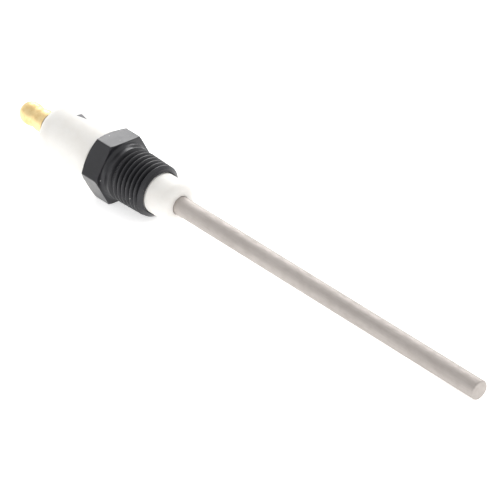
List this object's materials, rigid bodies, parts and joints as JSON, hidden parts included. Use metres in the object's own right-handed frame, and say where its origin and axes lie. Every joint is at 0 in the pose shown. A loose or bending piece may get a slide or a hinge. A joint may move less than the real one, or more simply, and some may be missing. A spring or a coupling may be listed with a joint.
{
  "type": "flame sensor probe",
  "caption": "Flame sensing electrode: a bare metal rod in a stepped white ceramic insulator, held by a black hex bushing with a taper pipe thread, with a brass push-on terminal.",
  "frame": {"origin": "centre of the hex's front face, where the bushing stops against the fitting it screws into", "axes": "+X along the rod towards its tip, +Z out of one hex flat"},
  "size_m": [0.159, 0.0184, 0.0158],
  "materials": {
    "black_oxide_steel": "black oxide, satin",
    "white_ceramic": "matt, unglazed",
    "rod_alloy": "drawn, satin",
    "terminal_brass": "satin",
    "plated_steel": "zinc plated",
    "spring_steel": "bare spring steel",
    "gasket_metal": "soft copper",
    "packing_powder": "pressed powder",
    "potting_cement": "cast, rough"
  },
  "bodies": {
    "root": {"threaded_bushing": "black_oxide_steel", "ceramic_insulator": "white_ceramic", "sensing_rod": "rod_alloy", "snap_terminal": "terminal_brass", "terminal_washer": "plated_steel", "lock_washer": "spring_steel", "seat_gasket": "gasket_metal", "packing_ring": "packing_powder", "bushing_cement": "potting_cement", "rod_gasket": "gasket_metal", "stud_seal": "potting_cement"}
  },
  "joints": []
}
